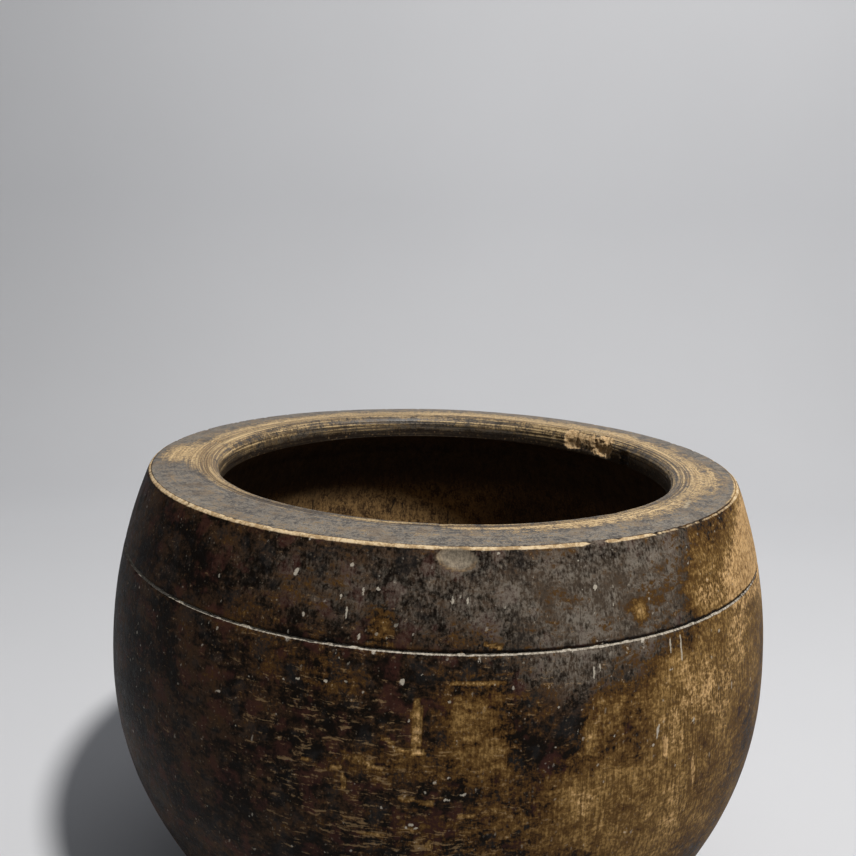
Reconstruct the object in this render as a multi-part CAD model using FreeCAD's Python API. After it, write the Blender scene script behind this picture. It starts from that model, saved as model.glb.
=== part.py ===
import FreeCAD, Part
import math
import os

# A large turned wooden pot with a thick rim that turns inwards over a wide hollow. It is three pieces of
# wood. The body is the hollowed wall. The rim ring closes the top of the body and holds the mouth: its
# tongue drops into a rebate, and the joint shows outside as a fine groove all round. The base board is
# dropped in from above and rests on a ledge inside the foot.
#
# Millimetres. +Z is up, along the turning axis. The origin is the centre of the foot's underside.

# Outer form
HEIGHT = 181.0
RIM_RADIUS = 125.0
BELLY_RADIUS = 141.2
BELLY_HEIGHT = 100.0
FOOT_RADIUS = 97.0
RIM_EDGE = 1.2  # worn rounding of the rim's outer edge
FOOT_EDGE = 3.0  # rounding of the foot's outer edge

# Mouth, through the rim ring
THROAT_RADIUS = 98.7
THROAT_DEPTH = 11.0  # from the rim's top to the sharp lower edge of the mouth
MOUTH_ROUND = 4.7  # rounding from the rim's flat top into the mouth

# Hollow
HOLLOW_TOP_RADIUS = 109.0
HOLLOW_TOP_HEIGHT = 159.0  # where the wall turns in under the rim
HOLLOW_RADIUS = 120.0
HOLLOW_FLOOR_RADIUS = 90.0

# Joint between rim ring and body
SEAM_DEPTH = 30.0  # from the rim's top
SEAM_BEVEL = 0.6  # each side's share of the groove that shows outside
TONGUE_LENGTH = 12.0
TONGUE_RADIUS = 124.0
FIT_GAP = 0.1  # glue line round the tongue and round the base board

# Base
LEDGE_HEIGHT = 8.0
LEDGE_RADIUS = 78.0
BOARD_THICKNESS = 14.0
BOARD_EDGE = 1.0  # chamfer round both faces of the base board

SEAM_HEIGHT = HEIGHT - SEAM_DEPTH
TONGUE_END = SEAM_HEIGHT - TONGUE_LENGTH
FLOOR_HEIGHT = LEDGE_HEIGHT + BOARD_THICKNESS


class BulgedCurve:
    """A side profile made of two arcs that meet upright at its widest point. Points are (radius, height)."""

    def __init__(self, top, widest, bottom):
        self.top = top
        self.widest = widest
        self.bottom = bottom

    def radius(self, height):
        end = self.top if height > self.widest[1] else self.bottom
        rise = end[1] - self.widest[1]
        run = self.widest[0] - end[0]
        arc = (rise**2 + run**2) / (2 * run)
        return self.widest[0] - arc + math.sqrt(arc**2 - (height - self.widest[1]) ** 2)

    def point(self, height):
        return (self.radius(height), height)

    def arc(self, start, end):
        """The outline step from one height to another, both on the same side of the widest point."""
        return (self.point((start + end) / 2), self.point(end))


def quarter_round(start, end, corner):
    """The outline step for a rounding from start to end in place of a square corner."""
    share = 1 - math.sqrt(0.5)
    middle = [c + share * (s - c + e - c) for s, e, c in zip(start, end, corner)]
    return (tuple(middle), end)


def turned(start, *steps):
    """The solid turned from an outline. A step of one point is a line, of two an arc through the first."""

    def place(point):
        return FreeCAD.Vector(point[0], 0, point[1])

    edges = []
    here = start
    for step in [*steps, (start,)]:
        if len(step) == 1:
            edges.append(Part.LineSegment(place(here), place(step[0])).toShape())
        else:
            edges.append(Part.Arc(place(here), place(step[0]), place(step[1])).toShape())
        here = step[-1]
    face = Part.Face(Part.Wire(edges))
    return face.revolve(FreeCAD.Vector(0, 0, 0), FreeCAD.Vector(0, 0, 1), 360)


outer = BulgedCurve((RIM_RADIUS, HEIGHT), (BELLY_RADIUS, BELLY_HEIGHT), (FOOT_RADIUS, 0))
hollow = BulgedCurve(
    (HOLLOW_TOP_RADIUS, HOLLOW_TOP_HEIGHT),
    (HOLLOW_RADIUS, BELLY_HEIGHT),
    (HOLLOW_FLOOR_RADIUS + FIT_GAP, FLOOR_HEIGHT),
)


def rim_ring():
    """The inturned rim: flat top, rounded mouth, undercut, and the tongue that seats in the body."""
    throat_bottom = (THROAT_RADIUS, HEIGHT - THROAT_DEPTH)
    throat_top = (THROAT_RADIUS, HEIGHT - MOUTH_ROUND)
    mouth_edge = (THROAT_RADIUS + MOUTH_ROUND, HEIGHT)
    rim_edge = (RIM_RADIUS - RIM_EDGE, HEIGHT)
    below_rim_edge = outer.point(HEIGHT - RIM_EDGE)
    bevel_top = SEAM_HEIGHT + SEAM_BEVEL
    seam_outside = (outer.radius(SEAM_HEIGHT) - SEAM_BEVEL, SEAM_HEIGHT)
    cove_corner = (HOLLOW_TOP_RADIUS, HEIGHT - THROAT_DEPTH)
    return turned(
        throat_top,
        quarter_round(throat_top, mouth_edge, (THROAT_RADIUS, HEIGHT)),
        (rim_edge,),
        quarter_round(rim_edge, below_rim_edge, (RIM_RADIUS, HEIGHT)),
        outer.arc(HEIGHT - RIM_EDGE, bevel_top),
        (seam_outside,),
        ((TONGUE_RADIUS, SEAM_HEIGHT),),
        ((TONGUE_RADIUS, TONGUE_END),),
        (hollow.point(TONGUE_END),),
        hollow.arc(TONGUE_END, HOLLOW_TOP_HEIGHT),
        quarter_round(hollow.top, throat_bottom, cove_corner),
    )


def body():
    """The hollowed wall, rebated for the tongue at the top and left with a ledge inside the foot."""
    bevel_bottom = SEAM_HEIGHT - SEAM_BEVEL
    seam_outside = (outer.radius(SEAM_HEIGHT) - SEAM_BEVEL, SEAM_HEIGHT)
    rebate = TONGUE_RADIUS + FIT_GAP
    board_hole = HOLLOW_FLOOR_RADIUS + FIT_GAP
    above_foot_edge = outer.point(FOOT_EDGE)
    foot_edge = (FOOT_RADIUS - FOOT_EDGE, 0)
    return turned(
        (rebate, TONGUE_END),
        ((rebate, SEAM_HEIGHT),),
        (seam_outside,),
        (outer.point(bevel_bottom),),
        outer.arc(bevel_bottom, BELLY_HEIGHT),
        outer.arc(BELLY_HEIGHT, FOOT_EDGE),
        quarter_round(above_foot_edge, foot_edge, (FOOT_RADIUS, 0)),
        ((LEDGE_RADIUS, 0),),
        ((LEDGE_RADIUS, LEDGE_HEIGHT),),
        ((board_hole, LEDGE_HEIGHT),),
        (hollow.bottom,),
        hollow.arc(FLOOR_HEIGHT, BELLY_HEIGHT),
        hollow.arc(BELLY_HEIGHT, TONGUE_END),
    )


def base_board():
    """The round board that is the pot's floor."""
    bottom_edge = LEDGE_HEIGHT + BOARD_EDGE
    top_edge = FLOOR_HEIGHT - BOARD_EDGE
    return turned(
        (0, LEDGE_HEIGHT),
        ((HOLLOW_FLOOR_RADIUS - BOARD_EDGE, LEDGE_HEIGHT),),
        ((HOLLOW_FLOOR_RADIUS, bottom_edge),),
        ((HOLLOW_FLOOR_RADIUS, top_edge),),
        ((HOLLOW_FLOOR_RADIUS - BOARD_EDGE, FLOOR_HEIGHT),),
        ((0, FLOOR_HEIGHT),),
    )


os.makedirs("parts", exist_ok=True)
for name, make in {"rim_ring": rim_ring, "body": body, "base_board": base_board}.items():
    solid = make()
    solid.exportStep(f"parts/{name}.step")
    print(name, "valid" if solid.isValid() else "INVALID", round(solid.Volume / 1000), "cm3")
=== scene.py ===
import math

import bpy
import numpy as np
from mathutils import Matrix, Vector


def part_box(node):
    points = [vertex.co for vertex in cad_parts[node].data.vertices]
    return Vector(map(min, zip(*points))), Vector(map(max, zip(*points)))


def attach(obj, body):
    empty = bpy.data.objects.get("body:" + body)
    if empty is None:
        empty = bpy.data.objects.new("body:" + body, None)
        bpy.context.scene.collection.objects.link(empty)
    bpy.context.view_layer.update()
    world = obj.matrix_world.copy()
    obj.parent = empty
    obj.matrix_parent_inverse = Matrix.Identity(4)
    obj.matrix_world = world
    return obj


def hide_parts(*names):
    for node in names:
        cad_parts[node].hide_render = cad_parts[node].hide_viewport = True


# The looks of a large old turned wooden pot. Lengths are in metres, written as millimetres times MM.
# Azimuths are in degrees, anticlockwise from +X seen from above, so the front, -Y, is at -90.

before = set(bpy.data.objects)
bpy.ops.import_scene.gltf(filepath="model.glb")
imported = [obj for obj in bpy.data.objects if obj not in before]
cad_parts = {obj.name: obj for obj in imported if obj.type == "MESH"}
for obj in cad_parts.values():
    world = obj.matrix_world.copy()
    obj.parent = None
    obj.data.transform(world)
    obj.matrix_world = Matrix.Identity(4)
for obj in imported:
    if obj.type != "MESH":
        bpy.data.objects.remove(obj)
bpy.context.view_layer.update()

MM = 0.001

# ---- The pot's form: what the frame's boxes give, then the radii and heights that they don't ----

RIM_LOW, RIM_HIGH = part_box("rim_ring")
BODY_LOW, BODY_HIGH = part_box("body")
BOARD_LOW, BOARD_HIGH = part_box("base_board")
TOP = RIM_HIGH.z
SEAM = BODY_HIGH.z
TONGUE_END = RIM_LOW.z
LEDGE, FLOOR = BOARD_LOW.z, BOARD_HIGH.z

RIM_RADIUS = 125 * MM
RIM_EDGE = 1.2 * MM
BELLY = (BODY_HIGH.x, 100 * MM)
FOOT = (97 * MM, BODY_LOW.z)
FOOT_EDGE = 3 * MM
THROAT_RADIUS = 98.7 * MM
THROAT_END = TOP - 11 * MM
MOUTH_ROUND = 4.7 * MM
RIDGED_RADIUS = 106.5 * MM  # inside it the rim's flat has fine turned ridges
HOLLOW_TOP = (109 * MM, 159 * MM)
HOLLOW_BELLY = (120 * MM, 100 * MM)
FIT_GAP = 0.1 * MM  # round the tongue and round the base board
HOLLOW_FLOOR = (BOARD_HIGH.x + FIT_GAP, FLOOR)
TONGUE_RADIUS = 124 * MM
LEDGE_RADIUS = 78 * MM
SEAM_BEVEL = 0.6 * MM
SEAM_SLIT = 0.15 * MM  # how far the two rims of the joint stand apart where it shows
SLIT_DEPTH = 3 * MM


def bulged(top, widest, bottom):
    """The radius at any height of a side made of two arcs that meet upright at its widest point."""

    def radius(height):
        above = np.asarray(height) > widest[1]
        rise = np.where(above, top[1], bottom[1]) - widest[1]
        run = widest[0] - np.where(above, top[0], bottom[0])
        arc = (rise**2 + run**2) / (2 * run)
        return widest[0] - arc + np.sqrt(arc**2 - (height - widest[1]) ** 2)

    return radius


side = bulged((RIM_RADIUS, TOP), BELLY, FOOT)
hollow = bulged(HOLLOW_TOP, HOLLOW_BELLY, HOLLOW_FLOOR)


# ---- Outlines: stretches of (radius, height) points, each without its last point ----


def straight(start, end, step):
    count = max(1, round(math.dist(start, end) / step))
    share = np.linspace(0, 1, count + 1)[:-1, None]
    return np.array(start) * (1 - share) + np.array(end) * share


def curved(radius, start, end, step):
    """A stretch of a side curve, from one height to another."""
    count = max(1, round(abs(end - start) / step))
    height = np.linspace(start, end, count + 1)[:-1]
    return np.stack([radius(height), height], 1)


def rounding(start, end, corner, step):
    """A quarter round from start to end in place of a corner."""
    count = max(2, round(math.dist(start, end) * 1.1 / step))
    turn = np.linspace(0, math.pi / 2, count + 1)[:-1, None]
    start, end, corner = np.array(start), np.array(end), np.array(corner)
    centre = start + end - corner
    return centre + (start - centre) * np.cos(turn) + (end - centre) * np.sin(turn)


# ---- Smooth noise that comes out the same on each run ----


def lattice(corner, seed):
    """A repeatable number from 0 to 1 for each whole-number corner of a grid."""
    mixed = corner[0] * 374761393 + corner[1] * 668265263 + corner[2] * 974634777 + seed * 362437
    mixed = ((mixed & 0xFFFFFFFF) ^ ((mixed & 0xFFFFFFFF) >> 13)) * 1274126177
    mixed = (mixed & 0xFFFFFFFF) ^ ((mixed & 0xFFFFFFFF) >> 16)
    return (mixed & 0xFFFF) / 0xFFFF


def noise(place, size, seed, octaves=1):
    """Noise from about -1 to 1 at each place (three arrays), with features of that size."""
    total, weight, reach = 0.0, 1.0, 0.0
    sizes = np.broadcast_to(np.asarray(size, float), (3,))
    for octave in range(octaves):
        scaled = [axis * 2**octave / length for axis, length in zip(place, sizes)]
        whole = [np.floor(axis).astype(np.int64) for axis in scaled]
        part = [axis - base for axis, base in zip(scaled, whole)]
        eased = [axis * axis * (3 - 2 * axis) for axis in part]
        value = 0.0
        for bits in range(8):
            offset = [bits >> axis & 1 for axis in range(3)]
            share = 1.0
            for axis in range(3):
                share = share * (eased[axis] if offset[axis] else 1 - eased[axis])
            corner = [base + step for base, step in zip(whole, offset)]
            value = value + share * lattice(corner, seed + octave * 101)
        total = total + weight * (value * 2 - 1)
        reach += weight
        weight *= 0.5
    return total / reach


def eased_step(value, low, high):
    share = np.clip((value - low) / (high - low), 0, 1)
    return share * share * (3 - 2 * share)


# ---- Turned pieces ----


class Turned:
    """A grid of points turned from an outline, which relief can be pressed into before it is a mesh."""

    def __init__(self, outline, columns):
        self.zones = [zone for zone, points in outline for _ in points]
        flat = np.concatenate([points for _, points in outline])
        along = np.roll(flat, -1, 0) - np.roll(flat, 1, 0)
        along /= np.linalg.norm(along, axis=1)[:, None]
        outward = np.stack([along[:, 1], -along[:, 0]], 1)
        area = np.sum(flat[:, 0] * np.roll(flat[:, 1], -1) - np.roll(flat[:, 0], -1) * flat[:, 1])
        self.outward = outward if area > 0 else -outward
        turn = np.radians(np.arange(columns) * 360 / columns - 180)
        self.azimuth = np.degrees(turn)[None, :]
        self.radius = np.repeat(flat[:, :1], columns, 1)
        self.height = np.repeat(flat[:, 1:], columns, 1)
        self.across, self.deep = np.cos(turn)[None, :], np.sin(turn)[None, :]
        self.columns = columns
        self.marks = {}

    def place(self):
        return self.radius * self.across, self.radius * self.deep, self.height

    def rows(self, *zones):
        """1 on the rows of those zones and 0 elsewhere, to multiply a relief or a mark by."""
        return np.array([float(zone in zones) for zone in self.zones])[:, None]

    def press(self, depth):
        """Moves each point into the wood by its own depth."""
        self.radius = self.radius - depth * self.outward[:, :1]
        self.height = self.height - depth * self.outward[:, 1:]

    def mark(self, name, amount):
        """Adds to a mark that the materials read by name."""
        shape = self.radius.shape
        self.marks[name] = self.marks.get(name, np.zeros(shape)) + np.broadcast_to(amount, shape)

    def arc(self, azimuth):
        """How far round the pot each point is from an azimuth, in metres, signed."""
        return np.radians((self.azimuth - azimuth + 180) % 360 - 180) * self.radius

    def oval(self, azimuth, level, wide, tall, levels, tilt=0.0, power=2):
        """0 at an oval's centre and 1 on its edge. Sizes are half sizes in mm. Power 4 squares it off."""
        arc = self.arc(azimuth) / MM
        rise = (levels - level * MM) / MM
        lean = math.radians(tilt)
        along = arc * math.cos(lean) + rise * math.sin(lean)
        over = rise * math.cos(lean) - arc * math.sin(lean)
        return (along / wide) ** power + (over / tall) ** power

    def make(self, name, surfaces):
        """The mesh object. surfaces gives each zone's material."""
        rows, columns = self.radius.shape
        x, y, z = self.place()
        points = np.stack([x, y, np.broadcast_to(z, x.shape)], -1).reshape(-1, 3)
        row, column = np.meshgrid(np.arange(rows), np.arange(columns), indexing="ij")
        down, right = (row + 1) % rows, (column + 1) % columns
        quads = np.stack([row * columns + column, row * columns + right, down * columns + right,
                          down * columns + column], -1).reshape(-1, 4)
        a, b, c = (points[quads[:, corner]] for corner in (0, 1, 2))
        if np.sum(np.cross(a, b) * c) < 0:
            quads = quads[:, ::-1]
        mesh = bpy.data.meshes.new(name)
        mesh.vertices.add(len(points))
        mesh.vertices.foreach_set("co", points.astype(np.float32).ravel())
        mesh.loops.add(quads.size)
        mesh.loops.foreach_set("vertex_index", quads.astype(np.int32).ravel())
        mesh.polygons.add(len(quads))
        mesh.polygons.foreach_set("loop_start", np.arange(0, quads.size, 4, dtype=np.int32))
        mesh.update(calc_edges=True)
        mesh.shade_smooth()
        mesh.set_sharp_from_angle(angle=math.radians(40))
        kinds = list(dict.fromkeys(surfaces.values()))
        for kind in kinds:
            mesh.materials.append(kind)
        numbers = np.array([kinds.index(surfaces[zone]) for zone in self.zones], np.int32)
        mesh.polygons.foreach_set("material_index", np.repeat(numbers, columns))
        for label, amount in self.marks.items():
            store = mesh.attributes.new(label, "FLOAT", "POINT")
            store.data.foreach_set("value", amount.astype(np.float32).ravel())
        mesh.validate()
        piece = bpy.data.objects.new(name, mesh)
        bpy.context.scene.collection.objects.link(piece)
        return piece


# ---- Materials ----


class Surface:
    """A material's nodes. Each method adds some and returns the socket that carries the result."""

    def __init__(self, name):
        self.material = bpy.data.materials.new(name)
        self.material.use_nodes = True
        self.tree = self.material.node_tree
        self.tree.nodes.clear()
        self.place = self.add("ShaderNodeTexCoord").outputs["Object"]
        split = self.add("ShaderNodeSeparateXYZ", {0: self.place})
        x, y, self.height = split.outputs
        squared = self.math("ADD", self.math("MULTIPLY", x, x), self.math("MULTIPLY", y, y))
        self.radius = self.math("SQRT", squared)
        self.across = self.math("DIVIDE", x, self.radius)
        self.deep = self.math("DIVIDE", y, self.radius)

    def add(self, kind, inputs=None, **settings):
        node = self.tree.nodes.new(kind)
        for key, value in settings.items():
            setattr(node, key, value)
        for key, value in (inputs or {}).items():
            if isinstance(value, bpy.types.NodeSocket):
                self.tree.links.new(value, node.inputs[key])
            else:
                node.inputs[key].default_value = value
        return node

    def math(self, operation, *values):
        return self.add("ShaderNodeMath", dict(enumerate(values)), operation=operation).outputs[0]

    def total(self, *parts):
        """The weighted sum of (value, weight) pairs."""
        result = None
        for value, weight in parts:
            term = self.math("MULTIPLY", value, weight)
            result = term if result is None else self.math("ADD", result, term)
        return result

    def step(self, value, low, high):
        """0 at low and beyond, 1 at high and beyond, smooth between. Either may be the larger."""
        inputs = {"Value": value, "From Min": low, "From Max": high}
        return self.add("ShaderNodeMapRange", inputs, interpolation_type="SMOOTHSTEP").outputs[0]

    def centred(self, value):
        return self.math("SUBTRACT", value, 0.5)

    def mark(self, name):
        return self.add("ShaderNodeAttribute", attribute_name=name).outputs["Fac"]

    def vector(self, x, y, z):
        return self.add("ShaderNodeCombineXYZ", {0: x, 1: y, 2: z}).outputs[0]

    def stretched(self, size, seed):
        """The place divided by a feature size in millimetres, moved by the seed."""
        scale = [1 / (length * MM) for length in size]
        inputs = {0: self.place, 1: scale, 2: (seed * 7.31, seed * 3.17, seed * 5.79)}
        return self.add("ShaderNodeVectorMath", inputs, operation="MULTIPLY_ADD").outputs[0]

    def noise(self, size, seed, detail=3, rough=0.55):
        """Noise with features of that size (three lengths in millimetres), around 0.5."""
        vector = self.stretched(size, seed)
        inputs = {"Vector": vector, "Scale": 1.0, "Detail": detail, "Roughness": rough}
        return self.add("ShaderNodeTexNoise", inputs).outputs["Fac"]

    def rings(self, round_size, size, seed, detail=3, warp=0.0):
        """Noise drawn out round the pot: round_size along the turning, size across it, in millimetres.
        warp bends it across the turning, as a share of size."""
        spread = 120 / round_size
        inputs = {
            "Vector": self.vector(
                self.math("MULTIPLY", self.across, spread),
                self.math("MULTIPLY", self.deep, spread),
                self.math("MULTIPLY_ADD", self.radius, 1 / (size * MM), seed * 7.31),
            ),
            "W": self.math("MULTIPLY_ADD", self.height, 1 / (size * MM), warp),
            "Scale": 1.0,
            "Detail": detail,
        }
        return self.add("ShaderNodeTexNoise", inputs, noise_dimensions="4D").outputs["Fac"]

    def flecks(self, size, share, small, large, seed):
        """Scattered ragged flecks, some faint. size is their spacing in mm, share is how many are kept."""
        wander = self.centred(self.noise((1.0, 1.0, 1.4), seed + 3, 2))
        other = self.centred(self.noise((1.2, 1.2, 1.0), seed + 8, 2))
        inputs = {0: self.vector(wander, other, wander), 1: (0.55,) * 3, 2: self.stretched(size, seed)}
        moved = self.add("ShaderNodeVectorMath", inputs, operation="MULTIPLY_ADD").outputs[0]
        cells = self.add("ShaderNodeTexVoronoi", {"Vector": moved, "Scale": 1.0})
        chance = self.add("ShaderNodeSeparateColor", {0: cells.outputs["Color"]})
        here = self.math("GREATER_THAN", chance.outputs[0], 1 - share)
        reach = self.math("MULTIPLY_ADD", chance.outputs[1], large - small, small)
        inside = self.math("SUBTRACT", reach, cells.outputs["Distance"])
        strength = self.math("MULTIPLY_ADD", chance.outputs[2], 0.7, 0.3)
        faint = self.math("MULTIPLY", here, strength)
        return self.math("MULTIPLY", faint, self.step(inside, -0.03, 0.05))

    def blend(self, share, under, over):
        colours = [c if isinstance(c, bpy.types.NodeSocket) else (*c, 1.0) for c in (under, over)]
        inputs = {0: share, 6: colours[0], 7: colours[1]}
        return self.add("ShaderNodeMix", inputs, data_type="RGBA", clamp_factor=True).outputs[2]

    def tone(self, value, reach, low, high):
        """A colour between low and high, as value goes from -reach to reach."""
        return self.blend(self.step(value, -reach, reach), low, high)

    def coat(self, under, share, strength, over):
        """over laid on under where share is 1, at part strength."""
        return self.blend(self.math("MULTIPLY", share, strength), under, over)

    def finish(self, colour, roughness, relief, **sockets):
        """relief is the surface's fine height in millimetres."""
        bump = self.add("ShaderNodeBump", {"Height": relief, "Distance": MM, "Strength": 1.0})
        inputs = {"Base Color": colour, "Roughness": roughness, "Normal": bump.outputs[0], **sockets}
        shader = self.add("ShaderNodeBsdfPrincipled", inputs)
        self.add("ShaderNodeOutputMaterial", {"Surface": shader.outputs[0]})
        return self.material


def limb(surface):
    """How much of the pale bared wood of the rim's outer edge a place shows."""
    out = surface.math("SUBTRACT", surface.radius, RIM_RADIUS)
    up = surface.math("SUBTRACT", surface.height, TOP)
    squared = surface.math("ADD", surface.math("MULTIPLY", out, out), surface.math("MULTIPLY", up, up))
    away = surface.math("DIVIDE", surface.math("SQRT", squared), MM)
    ragged = surface.centred(surface.noise((2.2, 2.2, 1.4), 5, 4))
    width = surface.total((surface.mark("edge_wear"), 1.0), (ragged, 0.7))
    return surface.step(surface.math("SUBTRACT", width, away), -0.15, 0.25)


def straw_wood(s, tone):
    """Freshly bared wood: the colour of the rim's worn edge and of the broken places."""
    return s.tone(tone, 0.15, (0.42, 0.285, 0.150), (0.76, 0.59, 0.37))


def side_wood():
    """The outside: dark brown patina over golden wood, thinned in patches, specked and scratched."""
    s = Surface("dark_side_wood")
    blotch = s.centred(s.noise((18, 18, 14), 1, 5))
    mottle = s.centred(s.noise((3.6, 3.6, 3.0), 2, 5, 0.65))
    grain = s.centred(s.noise((1.1, 1.1, 1.3), 3, 4, 0.7))
    fibre = s.centred(s.noise((0.7, 0.7, 9), 4, 3))
    bend = s.math("MULTIPLY", s.noise((7, 7, 7), 8, 2), 7.0)
    streak = s.centred(s.rings(8, 1.3, 5, 4, bend))
    line = s.centred(s.rings(5, 0.8, 6, 3, s.math("MULTIPLY", bend, 0.6)))
    tint = s.centred(s.noise((8, 8, 8), 7, 3))

    wear = s.total((s.mark("worn"), 1.0), (blotch, 2.3), (mottle, 1.8), (grain, 2.0), (streak, 1.4),
                   (fibre, 0.9))
    tone = s.total((blotch, 1), (mottle, 1), (grain, 0.8), (streak, 0.6))
    dark = s.blend(s.step(tone, -0.16, 0.22), (0.007, 0.005, 0.0035), (0.052, 0.028, 0.015))
    dark = s.coat(dark, s.step(tint, 0.02, 0.14), 0.55, (0.066, 0.024, 0.018))
    dark = s.coat(dark, s.step(tint, -0.03, -0.16), 0.25, (0.034, 0.036, 0.038))
    # Painted shade: where the worn mark is lowest, mostly over the wide patch on the left, the patina is
    # darkened nearly to black.
    dark = s.coat(dark, s.step(wear, -0.50, -1.05), 0.75, (0.007, 0.005, 0.004))
    # The grey bloom is partly real bloom and partly a painted sheen: the grey reflection on the band below
    # the rim at the front.
    haze = s.total((s.mark("bloom_and_sheen"), 1), (mottle, 1.8), (blotch, 1.0), (grain, 1.3), (fibre, 0.8))
    bloom_and_sheen = s.math("MULTIPLY", s.step(haze, -0.25, 0.95), s.step(s.mark("bloom_and_sheen"), 0.0, 0.35))
    ash = s.total((grain, 1), (fibre, 0.8), (tint, 1))
    ashen = s.tone(ash, 0.2, (0.082, 0.060, 0.042), (0.235, 0.203, 0.165))
    dark = s.coat(dark, bloom_and_sheen, 0.85, ashen)
    fine = s.total((grain, 1.3), (fibre, 1.1), (streak, 0.5), (mottle, 0.4), (blotch, 0.5))
    golden = s.tone(fine, 0.30, (0.078, 0.040, 0.012), (0.330, 0.197, 0.068))
    pale_gold = s.tone(fine, 0.30, (0.240, 0.133, 0.048), (0.740, 0.470, 0.215))
    colour = s.blend(s.step(wear, -0.05, 0.45), dark, (0.064, 0.030, 0.009))
    colour = s.blend(s.step(wear, 0.20, 0.80), colour, (0.120, 0.063, 0.019))
    colour = s.blend(s.step(wear, 0.55, 1.35), colour, golden)
    colour = s.blend(s.step(wear, 1.30, 2.20), colour, pale_gold)
    pores = s.flecks((1.1, 1.1, 1.7), 0.38, 0.12, 0.36, 4)
    colour = s.coat(colour, pores, 0.45, (0.020, 0.011, 0.006))

    scuff = s.total((s.mark("scuff"), 0.10), (line, 1), (mottle, 0.5), (grain, 0.4))
    scratch = s.step(scuff, 0.19, 0.30)
    colour = s.coat(colour, scratch, 0.5, (0.33, 0.215, 0.105))
    crumbs = s.flecks((2.8, 2.8, 3.2), 0.45, 0.04, 0.20, 1)
    ticks = s.flecks((2.2, 2.2, 7.0), 0.30, 0.05, 0.15, 2)
    dust = s.flecks((1.2, 1.2, 1.4), 0.36, 0.10, 0.32, 3)
    crowd = s.step(s.total((s.noise((9, 9, 9), 7, 3), 1), (s.mark("bloom_and_sheen"), 0.08)), 0.44, 0.58)
    pale = s.step(s.total((s.mark("pale"), 1), (grain, 1.6), (fibre, 0.8)), 0.38, 0.62)
    specks = s.math("MAXIMUM", s.math("MULTIPLY", s.math("MAXIMUM", crumbs, ticks), crowd), pale)
    colour = s.coat(colour, dust, 0.28, (0.27, 0.22, 0.16))
    colour = s.coat(colour, specks, 0.75, (0.58, 0.52, 0.42))
    scooped = s.tone(s.total((grain, 1), (fibre, 0.6)), 0.2, (0.190, 0.158, 0.118), (0.360, 0.300, 0.220))
    colour = s.blend(s.mark("tan"), colour, scooped)
    bared = s.math("MAXIMUM", s.step(s.total((s.mark("bare"), 1), (grain, 0.9)), 0.35, 0.7), limb(s))
    colour = s.blend(bared, colour, straw_wood(s, s.total((grain, 1), (mottle, 1))))
    lip = s.step(s.total((s.mark("lip"), 1), (grain, 1.8), (mottle, 1.4)), 0.35, 0.80)
    colour = s.blend(lip, colour, s.tone(grain, 0.15, (0.24, 0.205, 0.155), (0.60, 0.54, 0.45)))
    # The joint's slit and the ring's lower bevel are painted near black, for dirt in the joint and as
    # painted shade of the gap.
    colour = s.blend(s.mark("gap"), colour, (0.003, 0.002, 0.002))

    rough = s.total((s.step(wear, 0.2, 0.9), 0.08), (bared, 0.3), (lip, 0.25), (bloom_and_sheen, 0.12), (grain, 0.6),
                    (mottle, 0.4))
    rough = s.math("ADD", rough, 0.50)
    relief = s.total((fibre, 0.05), (grain, 0.14), (mottle, 0.18), (streak, 0.10), (scratch, -0.04),
                     (specks, 0.03))
    return s.finish(colour, rough, relief, **{"Specular IOR Level": 0.03})


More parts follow.
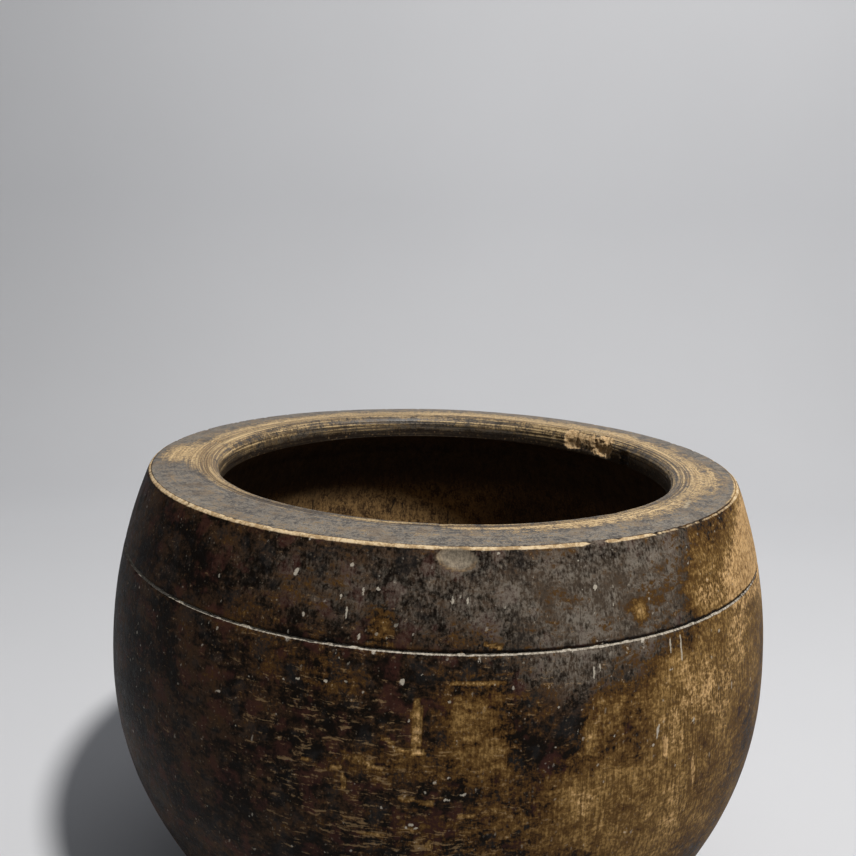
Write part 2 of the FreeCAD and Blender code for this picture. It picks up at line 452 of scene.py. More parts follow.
def rim_wood():
    """The flat top and the mouth: turned wood, slate dark outside, its grey partly a painted sheen, and
    worn to amber inside.
    """
    s = Surface("rim_top_wood")
    ring = s.centred(s.rings(55, 0.8, 1, 4))
    broad = s.centred(s.rings(40, 3.0, 2, 3))
    mottle = s.centred(s.noise((4.0, 4.0, 4.0), 3, 5, 0.65))
    grain = s.centred(s.noise((0.9, 0.9, 0.9), 4, 4, 0.65))
    tint = s.centred(s.noise((9, 9, 9), 5, 3))

    near_mouth = s.step(s.radius, 110 * MM, 104 * MM)
    lines = s.math("MULTIPLY", ring, s.math("MULTIPLY_ADD", near_mouth, 1.5, 0.7))
    wear = s.total((s.mark("worn"), 1.0), (mottle, 2.2), (broad, 0.9), (lines, 1.2), (grain, 2.2))
    # Partly painted sheen: the slate's grey stands in for the grazing reflection on the dark patina.
    slate = s.blend(s.step(s.total((lines, 0.6), (mottle, 1.1), (grain, 1.2)), -0.22, 0.24),
                    (0.050, 0.041, 0.033), (0.310, 0.268, 0.212))
    slate = s.coat(slate, s.step(tint, 0.0, 0.15), 0.5, (0.170, 0.112, 0.058))
    amber = s.tone(s.total((lines, 0.8), (grain, 1.4)), 0.22, (0.230, 0.130, 0.045), (0.800, 0.580, 0.300))
    colour = s.blend(s.step(wear, 0.05, 0.55), slate, (0.200, 0.128, 0.058))
    colour = s.blend(s.step(wear, 0.30, 0.90), colour, amber)
    pores = s.flecks((1.4, 1.4, 1.4), 0.35, 0.10, 0.30, 3)
    colour = s.coat(colour, pores, 0.5, (0.024, 0.016, 0.010))
    chalk = s.flecks((3.0, 3.0, 3.0), 0.22, 0.04, 0.15, 6)
    colour = s.coat(colour, chalk, 0.5, (0.50, 0.44, 0.34))
    groove = s.mark("groove")
    colour = s.coat(colour, groove, 0.85, (0.040, 0.022, 0.010))
    torn = s.step(s.total((s.mark("bare"), 1), (grain, 1.6)), 0.30, 0.75)
    bared = s.math("MAXIMUM", torn, limb(s))
    colour = s.blend(bared, colour, straw_wood(s, s.total((grain, 1), (mottle, 1))))
    raw = s.tone(grain, 0.12, (0.500, 0.300, 0.130), (0.900, 0.630, 0.330))
    colour = s.coat(colour, torn, 0.8, raw)
    scored = s.math("MULTIPLY", s.mark("scored"), s.step(grain, -0.25, 0.05))
    colour = s.blend(scored, colour, (0.50, 0.40, 0.25))
    # This darkens soot round the mouth, and paints shade into the hole beside the break.
    soot_and_shade = s.step(s.total((s.mark("soot_and_shade"), 1), (grain, 3.0), (mottle, 1.4)), 0.15, 0.85)
    colour = s.coat(colour, soot_and_shade, 0.93, (0.013, 0.007, 0.004))
    sparks = s.flecks((1.5, 1.5, 1.2), 0.55, 0.10, 0.42, 9)
    sparks = s.math("MULTIPLY", sparks, s.mark("soot_and_shade"))
    colour = s.coat(colour, sparks, 0.55, (0.34, 0.215, 0.105))
    rough = s.total((s.step(wear, 0.2, 0.9), 0.08), (bared, 0.25), (ring, 0.2), (grain, 0.3))
    rough = s.math("ADD", rough, 0.46)
    relief = s.total((ring, 0.14), (grain, 0.14), (mottle, 0.10))
    return s.finish(colour, rough, relief)


def hollow_wood():
    """The inside: bare wood left rough from the hollowing, with shade painted dark under the rim and on the
    right, +X, and darker near the floor.
    """
    s = Surface("hollow_wood")
    fibre = s.centred(s.noise((1.6, 1.6, 9), 1, 4, 0.6))
    mottle = s.centred(s.noise((6, 6, 7), 2, 5, 0.65))
    grain = s.centred(s.noise((1.0, 1.0, 1.4), 3, 4, 0.65))
    tone = s.total((fibre, 0.6), (mottle, 1.1), (grain, 1.0))
    colour = s.tone(tone, 0.25, (0.060, 0.028, 0.009), (0.460, 0.275, 0.105))
    # Painted shade: the wall is darkened above about 137 mm, where the rim's overhang shades it, and on the
    # right, +X. It is also darker below about 60 mm.
    up = s.math("ADD", s.math("DIVIDE", s.height, MM), s.total((mottle, 40), (grain, 12)))
    darkened = s.math("MAXIMUM", s.step(up, 128, 146), s.step(up, 74, 46))
    painted_right_shade = s.step(s.math("ADD", s.across, s.total((mottle, 0.6))), 0.10, 0.42)
    darkened = s.math("MAXIMUM", darkened, s.math("MULTIPLY", painted_right_shade, 0.8))
    colour = s.coat(colour, darkened, 0.88, (0.016, 0.008, 0.005))
    pits = s.flecks((2.2, 2.2, 3.6), 0.22, 0.06, 0.20, 2)
    colour = s.coat(colour, pits, 0.8, (0.012, 0.008, 0.005))
    colour = s.blend(s.mark("crack"), colour, (0.006, 0.004, 0.003))
    rough = s.math("ADD", s.total((grain, 0.2)), 0.75)
    relief = s.total((fibre, 0.15), (grain, 0.20), (mottle, 0.25), (pits, -0.2))
    return s.finish(colour, rough, relief)


def board_wood():
    """The base board: one plank, its grain running across the pot and its upper side stained dark."""
    s = Surface("board_wood")
    warp = s.centred(s.noise((30, 60, 30), 1, 2))
    grain = s.centred(s.noise((90, 2.4, 2.4), 2, 5, 0.6))
    pores = s.centred(s.noise((9, 0.4, 0.4), 3, 3))
    tone = s.total((grain, 1), (pores, 0.5), (warp, 0.8))
    colour = s.tone(tone, 0.25, (0.10, 0.05, 0.02), (0.33, 0.20, 0.09))
    inside = s.step(s.height, LEDGE + 4 * MM, LEDGE + 6 * MM)
    darkened = s.tone(tone, 0.2, (0.018, 0.010, 0.006), (0.075, 0.042, 0.020))
    colour = s.coat(colour, inside, 0.85, darkened)
    rough = s.math("ADD", s.total((pores, 0.3)), 0.66)
    return s.finish(colour, rough, s.total((grain, 0.25), (pores, 0.18)))


def foot_wood():
    """The foot's underside: end grain in rings, dirty in patches."""
    s = Surface("foot_wood")
    ring = s.centred(s.rings(70, 3.2, 4, 3))
    fine = s.centred(s.rings(25, 0.8, 5, 3))
    mottle = s.centred(s.noise((7, 7, 7), 6, 4))
    grain = s.centred(s.noise((0.8, 0.8, 0.8), 7, 3))
    tone = s.total((ring, 1.2), (fine, 0.7), (mottle, 0.9), (grain, 0.8))
    colour = s.tone(tone, 0.25, (0.060, 0.033, 0.015), (0.240, 0.145, 0.066))
    dirt = s.step(s.total((mottle, 1), (grain, 0.6)), 0.02, 0.16)
    colour = s.coat(colour, dirt, 0.6, (0.022, 0.014, 0.009))
    rough = s.math("ADD", s.total((grain, 0.3)), 0.7)
    return s.finish(colour, rough, s.total((ring, 0.2), (fine, 0.15), (grain, 0.12)))


# ---- Wear: what happened to the pot, and where. Ovals: azimuth, height or radius, half sizes in mm ----

# Patches where the patina is thinned to golden wood on the outside: azimuth, height, wide, tall, strength
WORN_PATCHES = [
    (-47, 167, 11, 11, 0.95),
    (-48, 157.5, 7, 6, 0.60),
    (-24, 171, 26, 9, 1.80),
    (-35, 160, 26, 10, 1.60),
    (-14, 164, 26, 16, 1.50),
    (-30, 150, 32, 13, 1.15),
    (-18, 120, 34, 60, 0.75),
    (-97, 158, 4.5, 7.0, 1.05),
    (-61, 158.5, 2.2, 2.8, 1.5),
    (-70, 124, 2.2, 5.0, 1.5),
    (-44, 131, 32, 19, 1.30),
    (-57, 128, 16, 14, 0.65),
    (-68, 133, 8, 12, 0.35),
    (-82, 155, 14, 8, 0.25),
    (-112, 150, 22, 26, 0.22),
    (-50, 112, 36, 18, 0.75),
    (-70, 106, 15, 12, 0.95),
    (-58, 90, 42, 16, 0.85),
    (-50, 66, 55, 26, 0.75),
    (-84, 131, 12, 13, 0.70),
    (-83, 117, 9, 8, 0.70),
    (-96, 117, 22, 6, 0.35),
    (-90, 92, 34, 12, 0.35),
    (-104, 141, 9, 10, 0.28),
    (5, 120, 55, 40, 0.55),
    (65, 105, 36, 30, 0.70),
    (118, 145, 26, 18, 0.60),
    (160, 92, 32, 20, 0.50),
]
# Places that kept all their patina, and a wide patch on the left, at -155, that is painted shade: it
# darkens that side
DARK_AND_SHADE_PATCHES = [
    (-155, 110, 100, 90, 0.75),
    (-92, 166, 22, 9, 0.20),
    (-72, 141, 9, 12, 0.45),
    (-76, 172, 26, 8, 0.18),
    (-112, 100, 38, 30, 0.12),
    (0, 100, 900, 900, 0.10),
]
# Places with a grey bloom on the patina, partly a painted sheen, and places with many fine turned scratches
BLOOM_AND_SHEEN_PATCHES = [
    (-66, 166, 46, 16, 0.80),
    (-52, 168, 22, 14, 0.35),
    (-104, 168, 40, 14, 0.22),
    (-66, 146, 30, 12, 0.40),
]
SCUFF_PATCHES = [
    (-100, 112, 45, 20, 1.20),
    (-92, 90, 40, 12, 1.20),
    (-106, 130, 34, 14, 0.80),
    (-80, 140, 30, 10, 0.50),
    (-100, 150, 30, 10, 0.35),
]
# Amber on the flat of the rim: azimuth, radius, wide, deep, strength
WORN_RIM = [
    (-174, 114, 16, 8, 1.05),
    (178, 103, 44, 7, 0.75),
    (140, 107, 50, 8, 0.75),
    (95, 108, 55, 8, 0.85),
    (55, 107, 44, 8, 0.75),
    (20, 107, 40, 9, 0.65),
    (35, 111, 9, 5, 0.45),
    (-12, 110, 32, 9, 0.75),
    (-42, 108, 26, 6, 0.60),
    (-66, 107, 26, 4.4, 0.90),
    (-86, 104, 12, 3.0, 0.55),
    (-103, 103, 9, 2.5, 0.45),
    (-135, 102, 40, 2.6, 0.55),
    (-163, 102, 24, 4, 0.60),
]
BRUISE = (-87.5, 177.5, 6.5, 3.5)  # azimuth, height, wide, tall
GOUGES = [  # azimuth, height, wide, tall, tilt, depth in mm
    (-92, 130, 1.7, 7.6, 2, 0.5),
    (-92.5, 121.5, 4.6, 0.7, -6, 0.35),
    (-95.5, 124, 3.0, 0.6, -24, 0.35),
    (-84.5, 142.5, 9.5, 0.32, 1, 0.30),
    (-82.5, 153, 3.6, 0.6, -14, 0.30),
    (-57.5, 114, 0.9, 4.2, 8, 0.35),
    (-51.5, 101, 0.9, 7.0, 10, 0.20),
    (-97, 115.5, 3.8, 0.6, -10, 0.20),
    (-91.5, 105.5, 6.0, 0.9, -6, 0.25),
    (-101, 109.5, 0.8, 3.0, 8, 0.20),
    (-102, 113.5, 2.2, 0.6, 0, 0.15),
    (-97.5, 93, 4.5, 0.6, 4, 0.15),
    (-106, 114.5, 2.6, 0.5, -14, 0.15),
    (-90, 90.5, 0.9, 2.2, 0, 0.20),
    (-85.5, 101, 2.8, 0.6, -5, 0.15),
]
# Pale chips and scratches on the outside: azimuth, height, wide, tall, tilt
PALE_MARKS = [
    (-110, 169, 0.9, 0.8, 0), (-110, 170, 0.8, 1.1, -30), (-102, 174, 0.8, 0.7, 0),
    (-100, 167, 0.6, 1.3, 0), (-98, 168, 0.8, 0.7, 0), (-108, 158, 0.6, 0.9, 0),
    (-103, 165, 0.6, 1.0, 0), (-102, 160, 0.5, 2.2, 0), (-100, 154, 0.6, 1.1, 0),
    (-94, 142, 0.9, 1.3, 0), (-104, 140, 0.9, 0.6, 0), (-108, 139, 1.8, 0.5, -25),
    (-88, 106, 1.8, 0.5, 0), (-86, 108, 1.6, 0.5, 0), (-88, 114, 1.4, 0.5, -8),
    (-92, 97, 3.0, 0.5, -25), (-68, 168, 0.8, 0.9, 0), (-42, 124, 0.6, 1.6, 0),
    (-52, 119, 0.7, 1.3, 0), (-59, 120, 0.6, 2.8, -6), (-56, 146, 0.45, 4.0, 0),
    (-54, 144, 0.45, 5.0, 0), (-68, 144, 0.5, 1.9, 0), (-69, 143, 0.5, 2.2, 0),
    (-56, 139, 1.6, 0.5, 25), (-88, 166, 0.6, 1.4, 0), (-86, 166, 0.6, 1.2, 0),
    (-120, 128, 0.9, 0.6, 0),
]
# Cracks in the hollow, in the same order
CRACKS = [
    (104, 124, 0.4, 7, 14), (101, 122, 0.35, 5, -8),
    (128, 131, 0.3, 8, 3), (88, 112, 0.4, 12, 2),
]
# Grooves round the mouth: how far in from RIDGED_RADIUS and then down, in mm, and how strong
RIDGES = [
    (0.25, 0.29), (1.98, 0.73), (3.31, 0.98), (4.57, 0.65), (6.36, 0.81),
    (7.83, 0.60), (9.73, 0.63), (11.77, 0.41), (13.65, 0.45),
]
# The broken edge of the mouth, as azimuth, height, wide, tall, depth in mm
BREAKS = [
    (46.5, 176, 5, 5.5, 1.3), (34.5, 176, 8, 5.5, 1.6),
    (24.5, 173, 4, 4.5, 1.5), (41, 176, 12, 5, 0.7),
]
# Where the broken edge shows pale raw wood, with a strength last, and a hole beside it whose shade is
# painted dark
RAW_WOOD = [(47, 176, 5, 5.0, 2.2), (34.5, 176, 7.5, 5.0, 2.2), (41, 178.5, 9, 2.6, 0.9)]
HOLE = (25, 173, 4.5, 4)
# How widely the rim's outer edge is bared, and where it is more or less than that, as azimuth, reach
# and gain, all in mm
EDGE_WIDTH = 0.871
EDGE_GAINS = [(-118, 90, 0.16), (-66.5, 3.5, -0.80), (-42, 34, -0.22), (90, 110, -0.30)]
# The pale lip below the joint, in mm, and dried drips below it, as azimuth and height
LIP_WIDTH = 0.707
DRIPS = [(-84.4, 147.2), (-72, 148.6), (-98, 149.0), (-61, 148.0), (-110, 149)]
# Pale scratches on the flat of the rim, as azimuth, radius, wide, deep, tilt
SCORES = [
    (35, 111, 6, 0.6, 14), (40, 108, 5, 0.6, -16),
    (31, 114.5, 5, 0.5, 30), (-36, 112.5, 7, 0.6, -12),
]
SAG = (-170, 32, 75, 30)  # a flattened place low on the side, as azimuth, height, wide, tall
SAG_DEPTH = 3.0
KNOCKS = 90  # small dents on the rim ring, and as many on the body


def soften(turned, zones, seed):
    """The slow unevenness of hand-turned old wood: faint waves and small knocks on the visible zones."""
    shown = turned.rows(*zones)
    place = turned.place()
    waves = 0.22 * noise(place, 45 * MM, seed, 2) + 0.05 * noise(place, 5 * MM, seed + 7, 2)
    turned.press(shown * waves * MM)
    dice = np.random.default_rng(seed)
    low, high = turned.height.min(), turned.height.max()
    for _ in range(KNOCKS):
        azimuth, level = dice.uniform(-180, 180), dice.uniform(low, high) / MM
        size, depth = dice.uniform(1.0, 4.5), dice.uniform(0.08, 0.35)
        tall, tilt = size * dice.uniform(0.6, 1.6), dice.uniform(0, 90)
        oval = turned.oval(azimuth, level, size, tall, turned.height, tilt)
        turned.press(shown * depth * np.clip(1 - oval, 0, 1) ** 1.5 * MM)


def roughen_hollow(turned):
    """Tool marks inside. They fade out at the joint, so that the two pieces meet flush there."""
    rough = noise(turned.place(), (7 * MM, 7 * MM, 12 * MM), 61, 3)
    fade = eased_step(np.abs(turned.height - TONGUE_END), 0, 4 * MM)
    turned.press(turned.rows("hollow") * 0.35 * rough * fade * MM)


def spread(turned, patches, levels):
    """The soft sum of patches given as azimuth, level, wide, tall and strength."""
    total = 0.0
    for azimuth, level, wide, tall, strength in patches:
        total = total + strength * np.exp(-turned.oval(azimuth, level, wide, tall, levels))
    return total


def wear_outside(turned, zones):
    """Worn patches, the bruise, the gouges and the pale chips, as relief and as marks."""
    shown = turned.rows(*zones)
    # worn is below zero on kept patina and on the left side, where it carries painted shade.
    worn = spread(turned, WORN_PATCHES, turned.height) - spread(turned, DARK_AND_SHADE_PATCHES, turned.height)
    turned.mark("worn", shown * worn)
    turned.mark("bloom_and_sheen", shown * spread(turned, BLOOM_AND_SHEEN_PATCHES, turned.height))
    turned.mark("scuff", shown * spread(turned, SCUFF_PATCHES, turned.height))
    scoop = np.clip(1 - turned.oval(*BRUISE, turned.height, -6), 0, 1)
    ragged = noise(turned.place(), 1.4 * MM, 31, 2)
    turned.press(shown * 1.3 * scoop**0.8 * MM)
    turned.mark("tan", 0.8 * shown * eased_step(scoop, 0.02, 0.14))
    lower_edge = eased_step(scoop, 0.04, 0.14) * (1 - eased_step(scoop, 0.30, 0.65))
    turned.mark("worn", 0.9 * shown * lower_edge)
    below_centre = eased_step(BRUISE[1] * MM - turned.height, 0, 1.5 * MM)
    turned.mark("tan", -0.45 * shown * lower_edge * below_centre)
    for azimuth, level, wide, tall, tilt, depth in GOUGES:
        block = turned.oval(azimuth, level, wide, tall, turned.height, tilt, 4)
        cut = shown * eased_step(1 - block + 0.7 * ragged, 0.0, 0.6)
        turned.press(depth * cut * MM)
        turned.mark("worn", 1.4 * cut)
    for azimuth, level, wide, tall, tilt in PALE_MARKS:
        block = turned.oval(azimuth, level, wide, tall, turned.height, tilt)
        turned.mark("pale", 0.85 * shown * eased_step(1.2 - block + 0.5 * ragged, 0.0, 0.9))


def shift_mouth(turned):
    """The mouth sits a little off the rim's centre: its left side is further in."""
    shown = turned.rows("top", "mouth", "throat", "hollow")
    inward = eased_step(113 * MM - turned.radius, 0, 9 * MM) * eased_step(turned.height, 150 * MM, 166 * MM)
    turned.radius = turned.radius - shown * (1 - turned.across) * 0.9 * MM * inward


def wear_rim_edge(turned):
    """How widely the rim's outer edge is worn to pale wood, and the nicks in it."""
    width = EDGE_WIDTH
    for azimuth, reach, gain in EDGE_GAINS:
        width = width + gain * np.exp(-((turned.arc(azimuth) / (reach * MM)) ** 4))
    turned.mark("edge_wear", width)
    out, up = turned.radius - RIM_RADIUS, turned.height - TOP
    near = np.exp(-(out**2 + up**2) / (1.6 * MM) ** 2)
    nick = eased_step(noise(turned.place(), 2.6 * MM, 11, 2), 0.18, 0.6)
    turned.press(turned.rows("top", "edge", "band") * near * (0.10 + 0.45 * nick) * MM)


def wear_mouth(turned):
    """Fine turned ridges round the mouth, soot below them, and the broken places."""
    shown = turned.rows("top", "mouth", "throat")
    inward = (RIDGED_RADIUS - turned.radius) + np.clip(TOP - turned.height, 0, None)
    groove = 0.0
    for at, strength in RIDGES:
        groove = groove + strength * np.exp(-(((inward - at * MM) / (0.40 * MM)) ** 2))
    broken = 0.0
    ragged = noise(turned.place(), (1.3 * MM, 1.3 * MM, 1.8 * MM), 17, 3)
    coarse = noise(turned.place(), 5 * MM, 18, 2)
    for azimuth, level, wide, tall, depth in BREAKS:
        block = turned.oval(azimuth, level, wide, tall, turned.height, 0, 4)
        bite = eased_step(1 - block + 0.5 * ragged + 0.3 * coarse, 0.0, 1.1)
        broken = np.maximum(broken, depth * bite)
    broken = broken * turned.rows("mouth", "throat")
    whole = 1 - np.clip(broken, 0, 1)
    turned.mark("groove", shown * whole * np.clip(groove, 0, 1))
    turned.press(shown * whole * 0.28 * groove * MM)
    turned.press((broken + 0.18 * ragged * (broken > 0)) * MM)
    raw = spread(turned, RAW_WOOD, turned.height) + 0.5 * ragged
    turned.mark("bare", np.clip(1.4 * raw * np.clip(broken / 0.5, 0, 1), 0, 1))
    below = TOP - turned.height
    soot_and_shade = eased_step(below + 1.2 * MM * noise(turned.place(), 7 * MM, 23, 3), 4.5 * MM, 9.5 * MM)
    # Painted shade: the hole beside the break is darkened with the soot mark.
    hole_shade = np.exp(-turned.oval(*HOLE, turned.height))
    soot_and_shade = soot_and_shade * (1 - 0.9 * turned.marks["bare"]) + 0.5 * hole_shade
    turned.mark("soot_and_shade", turned.rows("mouth", "throat") * soot_and_shade)
    for azimuth, radius, wide, deep, tilt in SCORES:
        block = turned.oval(azimuth, radius, wide, deep, turned.radius, tilt, 4)
        turned.mark("scored", turned.rows("top") * eased_step(1 - block + 0.8 * ragged, 0.0, 0.8))


# ---- The three pieces ----


def point(curve, height):
    return (float(curve(height)), height)


def make_rim_ring(surfaces):
    throat_end = (THROAT_RADIUS, THROAT_END)
    throat_top = (THROAT_RADIUS, TOP - MOUTH_ROUND)
    mouth_edge = (THROAT_RADIUS + MOUTH_ROUND, TOP)
    rim_edge = (RIM_RADIUS - RIM_EDGE, TOP)
    below_edge = point(side, TOP - RIM_EDGE)
    bevel_top = SEAM + SEAM_BEVEL
    bevel_end = (float(side(SEAM)) - SEAM_BEVEL, SEAM)
    outline = [
        ("throat", straight(throat_end, throat_top, 0.4 * MM)),
        ("mouth", rounding(throat_top, mouth_edge, (THROAT_RADIUS, TOP), 0.35 * MM)),
        ("top", straight(mouth_edge, (RIDGED_RADIUS, TOP), 0.4 * MM)),
        ("top", straight((RIDGED_RADIUS, TOP), rim_edge, 0.9 * MM)),
        ("edge", rounding(rim_edge, below_edge, (RIM_RADIUS, TOP), 0.25 * MM)),
        ("band", curved(side, TOP - RIM_EDGE, bevel_top, 0.6 * MM)),
        ("bevel", straight(point(side, bevel_top), bevel_end, 0.2 * MM)),
        ("joint", straight(bevel_end, (TONGUE_RADIUS, SEAM), 3 * MM)),
        ("joint", straight((TONGUE_RADIUS, SEAM), (TONGUE_RADIUS, TONGUE_END), 4 * MM)),
        ("joint", straight((TONGUE_RADIUS, TONGUE_END), point(hollow, TONGUE_END), 3 * MM)),
        ("hollow", curved(hollow, TONGUE_END, HOLLOW_TOP[1], 1.5 * MM)),
        ("hollow", rounding(HOLLOW_TOP, throat_end, (HOLLOW_TOP[0], THROAT_END), 1 * MM)),
    ]
    ring = Turned(outline, columns=1440)
    soften(ring, ("throat", "mouth", "top", "edge", "band"), 41)
    roughen_hollow(ring)
    shift_mouth(ring)
    wear_outside(ring, ("edge", "band"))
    ring.mark("worn", ring.rows("top", "mouth", "throat") * spread(ring, WORN_RIM, ring.radius))
    wear_mouth(ring)
    wear_rim_edge(ring)
    # The ring's lower bevel is painted dark as dirt in the joint and as painted shade.
    ring.mark("gap", 0.6 * ring.rows("bevel"))
    chips = eased_step(noise(ring.place(), 4 * MM, 57, 2), 0.30, 0.6)
    near = np.exp(-((ring.height - bevel_top) / (0.8 * MM)) ** 2) * ring.rows("band", "bevel")
    ring.press(0.5 * near * chips * MM)
    ring.mark("lip", 0.7 * near * chips * ring.rows("band"))
    return ring.make("rim_ring_turned", {
        "throat": surfaces["rim_top"], "mouth": surfaces["rim_top"], "top": surfaces["rim_top"],
        "edge": surfaces["side"], "band": surfaces["side"], "bevel": surfaces["side"],
        "joint": surfaces["hollow"], "hollow": surfaces["hollow"]})


def make_body(surfaces):
    rebate = TONGUE_RADIUS + FIT_GAP
    seam_radius = float(side(SEAM))
    slit = (seam_radius - SLIT_DEPTH, SEAM)
    lip_end = (seam_radius - SEAM_BEVEL, SEAM - SEAM_SLIT)
    lip_bottom = SEAM - SEAM_BEVEL - SEAM_SLIT
    fine_end = SEAM - 5 * MM
    foot_edge = (FOOT[0] - FOOT_EDGE, FOOT[1])
    outline = [
        ("joint", straight((rebate, TONGUE_END), (rebate, SEAM), 4 * MM)),
        ("joint", straight((rebate, SEAM), slit, 3 * MM)),
        ("slit", straight(slit, lip_end, 1 * MM)),
        ("lip", straight(lip_end, point(side, lip_bottom), 0.2 * MM)),
        ("side", curved(side, lip_bottom, fine_end, 0.35 * MM)),
        ("side", curved(side, fine_end, FOOT_EDGE, 0.9 * MM)),
        ("foot", rounding(point(side, FOOT_EDGE), foot_edge, FOOT, 0.8 * MM)),
        ("under", straight(foot_edge, (LEDGE_RADIUS, FOOT[1]), 1.5 * MM)),
        ("under", straight((LEDGE_RADIUS, FOOT[1]), (LEDGE_RADIUS, LEDGE), 1.5 * MM)),
        ("joint", straight((LEDGE_RADIUS, LEDGE), (HOLLOW_FLOOR[0], LEDGE), 4 * MM)),
        ("joint", straight((HOLLOW_FLOOR[0], LEDGE), HOLLOW_FLOOR, 3 * MM)),
        ("hollow", curved(hollow, FLOOR, TONGUE_END, 1.6 * MM)),
        ("joint", straight(point(hollow, TONGUE_END), (rebate, TONGUE_END), 3 * MM)),
    ]
    wall = Turned(outline, columns=1200)
    soften(wall, ("side", "foot"), 43)
    roughen_hollow(wall)
    wear_outside(wall, ("side", "foot"))
    lip = eased_step(wall.height - (SEAM - LIP_WIDTH * MM), -0.12 * MM, 0.15 * MM)
    lip = lip * wall.rows("lip", "side")
    chips = eased_step(noise(wall.place(), 3.2 * MM, 59, 2), 0.1, 0.6)
    near = np.exp(-((wall.height - lip_bottom) / (0.7 * MM)) ** 2) * wall.rows("lip", "side")
    wall.press((0.12 + 0.4 * chips) * near * MM)
    fainter = np.exp(-((wall.arc(0) / (95 * MM)) ** 6))  # on the right, +X
    wall.mark("lip", lip * (1.014 - 0.50 * fainter))
    for azimuth, low in DRIPS:
        drip = eased_step(1 - wall.oval(azimuth, low + 1.2, 0.7, 2.0, wall.height), 0, 0.5)
        wall.mark("lip", 0.5 * drip * wall.rows("side"))
    # The slit is painted near black as dirt in the joint and as painted shade.
    wall.mark("gap", wall.rows("slit"))
    cracks = 0.0
    for azimuth, level, wide, tall, tilt in CRACKS:
        oval = wall.oval(azimuth, level, wide, tall, wall.height, tilt)
        cracks = cracks + eased_step(1 - oval, 0, 0.6)
    wall.mark("crack", np.clip(cracks * wall.rows("hollow"), 0, 1))
    sag = np.exp(-wall.oval(*SAG, wall.height)) * eased_step(wall.height, 2 * MM, 12 * MM)
    wall.press(SAG_DEPTH * sag * wall.rows("side", "foot") * MM)
    wall.height = np.maximum(wall.height, FOOT[1])  # the knocks in the foot never reach below the floor
    return wall.make("body_turned", {
        "joint": surfaces["hollow"], "slit": surfaces["side"], "lip": surfaces["side"],
        "side": surfaces["side"], "foot": surfaces["side"], "under": surfaces["under"],
        "hollow": surfaces["hollow"]})


def make_base_board(surfaces):
    edge = 1 * MM
    radius = BOARD_HIGH.x
    outline = [
        ("under", straight((0, LEDGE), (radius - edge, LEDGE), 1.5 * MM)),
        ("under", straight((radius - edge, LEDGE), (radius, LEDGE + edge), 0.5 * MM)),
        ("under", straight((radius, LEDGE + edge), (radius, FLOOR - edge), 3 * MM)),
        ("upper", straight((radius, FLOOR - edge), (radius - edge, FLOOR), 0.5 * MM)),
        ("upper", straight((radius - edge, FLOOR), (0, FLOOR), 1.5 * MM)),
        ("upper", straight((0, FLOOR), (0, LEDGE), 20 * MM)),
    ]
    board = Turned(outline, columns=360)
    grain = noise(board.place(), (40 * MM, 3 * MM, 3 * MM), 71, 3)
    board.press(0.12 * grain * MM * (board.radius > 2 * MM) * (board.radius < radius - 2 * MM))
    return board.make("base_board_turned", {"under": surfaces["board"], "upper": surfaces["board"]})


surfaces = {
    "side": side_wood(),
    "rim_top": rim_wood(),
    "hollow": hollow_wood(),
    "board": board_wood(),
    "under": foot_wood(),
}
PIECES = [
    (make_rim_ring, "rim_ring", "rim_wood"),
    (make_body, "body", "body_wood"),
    (make_base_board, "base_board", "base_wood"),
]
for make, node, slot in PIECES:
    piece = make(surfaces)
    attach(piece, "root")
    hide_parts(node)


# ---- The stage: a pale floor that sweeps up behind, soft light and the camera ----

FLOOR_FRONT = -2.2
SWEEP_START = 0.55  # how far behind the pot's axis the floor starts to rise
SWEEP_RADIUS = 0.35
WALL_TOP = 2.6
STAGE_HALF = 2.4  # half its width
FADE_START, FADE_END = 1.15, 1.95  # from the pot's axis


def stage_paint():
    """Paint that fades out far from the pot, so that the stage's ends never show."""
    s = Surface("stage_paint")
    colour = (0.74, 0.75, 0.78)
    tone = s.centred(s.noise((300, 300, 300), 1, 2))
    faint = s.tone(tone, 0.3, [0.97 * part for part in colour], colour)
    near = s.step(s.radius, FADE_END, FADE_START)
    return s.finish(faint, 0.8, s.total((s.noise((2, 2, 2), 2, 2), 0.02)), Alpha=near)


def make_stage():
    turns = np.linspace(0, math.pi / 2, 25)
    profile = [(FLOOR_FRONT, 0.0)]
    for turn in turns:
        profile.append((SWEEP_START + SWEEP_RADIUS * math.sin(turn), SWEEP_RADIUS * (1 - math.cos(turn))))
    profile.append((SWEEP_START + SWEEP_RADIUS, WALL_TOP))
    points = [(x, y, z) for y, z in profile for x in (-STAGE_HALF, STAGE_HALF)]
    faces = [(2 * i, 2 * i + 1, 2 * i + 3, 2 * i + 2) for i in range(len(profile) - 1)]
    mesh = bpy.data.meshes.new("stage")
    mesh.from_pydata(points, [], faces)
    mesh.shade_smooth()
    mesh.materials.append(stage_paint())
    stage = bpy.data.objects.new("stage", mesh)
    bpy.context.scene.collection.objects.link(stage)


def aim(azimuth, elevation, distance, target):
    """The matrix of something that looks at target from that side."""
    turn, rise = math.radians(azimuth), math.radians(elevation)
    away = (math.cos(turn) * math.cos(rise), math.sin(turn) * math.cos(rise), math.sin(rise))
    place = [t + distance * a for t, a in zip(target, away)]
    swing = Matrix.Rotation(turn + math.pi / 2, 4, "Z") @ Matrix.Rotation(math.pi / 2 - rise, 4, "X")
    return Matrix.Translation(place) @ swing


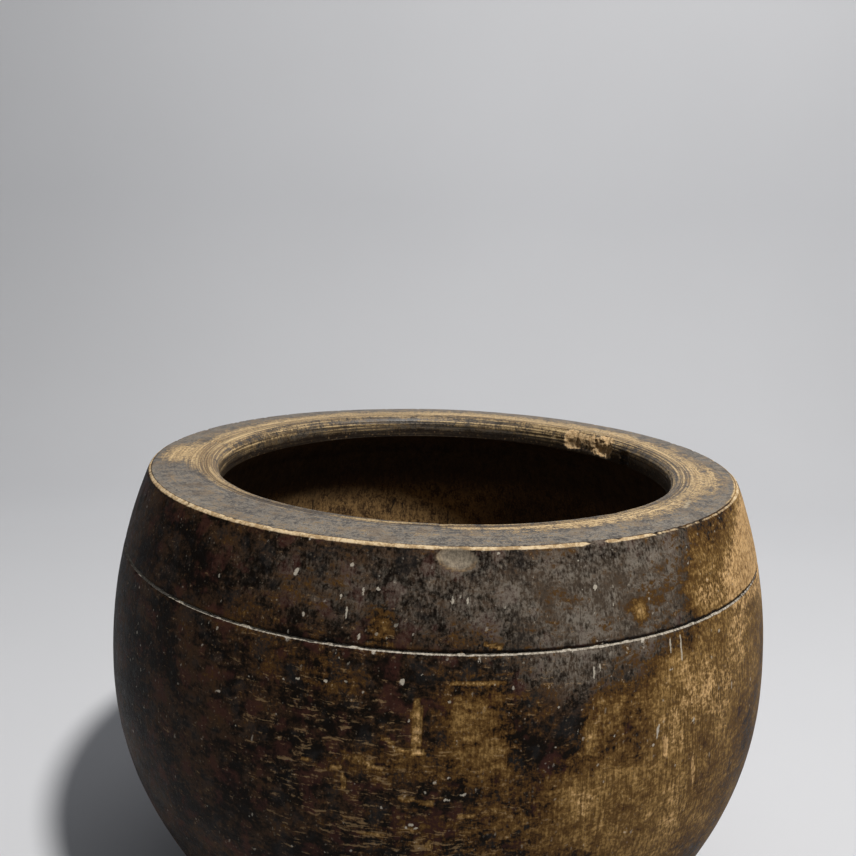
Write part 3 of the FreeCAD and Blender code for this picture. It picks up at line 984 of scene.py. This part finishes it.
def area_light(name, azimuth, elevation, distance, size, watts, colour):
    lamp = bpy.data.lights.new(name, "AREA")
    lamp.shape = "DISK"
    lamp.size = size
    lamp.energy = watts
    lamp.color = colour
    light = bpy.data.objects.new(name, lamp)
    light.matrix_world = aim(azimuth, elevation, distance, (0, 0, TOP))
    bpy.context.scene.collection.objects.link(light)


def make_light():
    area_light("key_light", azimuth=-47, elevation=65, distance=1.6, size=0.18, watts=27,
               colour=(1.0, 0.98, 0.95))
    world = bpy.data.worlds.new("studio")
    bpy.context.scene.world = world
    world.use_nodes = True
    tree = world.node_tree
    lighting = tree.nodes["Background"]
    lighting.inputs["Color"].default_value = (0.85, 0.92, 1.0, 1.0)
    lighting.inputs["Strength"].default_value = 0.06
    surround = tree.nodes.new("ShaderNodeBackground")  # the pale surround that shows past the stage
    surround.inputs["Color"].default_value = (0.40, 0.405, 0.415, 1.0)
    path = tree.nodes.new("ShaderNodeLightPath")
    either = tree.nodes.new("ShaderNodeMixShader")
    tree.links.new(path.outputs["Is Camera Ray"], either.inputs[0])
    tree.links.new(lighting.outputs[0], either.inputs[1])
    tree.links.new(surround.outputs[0], either.inputs[2])
    tree.links.new(either.outputs[0], tree.nodes["World Output"].inputs["Surface"])
    bpy.context.scene.view_settings.view_transform = "Standard"


CAMERA_DISTANCE = 374 * MM  # from the pot's axis, level
CAMERA_RISE = 84.5 * MM  # above the rim
CAMERA_PITCH, CAMERA_YAW, CAMERA_ROLL = 10.91, 1.06, 1.82  # degrees down, to the left, and anticlockwise
CAMERA_LENS = 36.04  # on a 36 mm wide frame


def make_camera():
    lens = bpy.data.cameras.new("camera")
    lens.sensor_width = 36
    lens.lens = CAMERA_LENS
    lens.clip_start = 0.01
    camera = bpy.data.objects.new("camera", lens)
    turn = Matrix.Rotation(math.radians(CAMERA_YAW), 4, "Z")
    tip = Matrix.Rotation(math.radians(90 - CAMERA_PITCH), 4, "X")
    roll = Matrix.Rotation(math.radians(CAMERA_ROLL), 4, "Z")
    place = Matrix.Translation((0, -CAMERA_DISTANCE, TOP + CAMERA_RISE))
    camera.matrix_world = place @ turn @ tip @ roll
    bpy.context.scene.collection.objects.link(camera)
    bpy.context.scene.camera = camera


make_stage()
make_light()
make_camera()
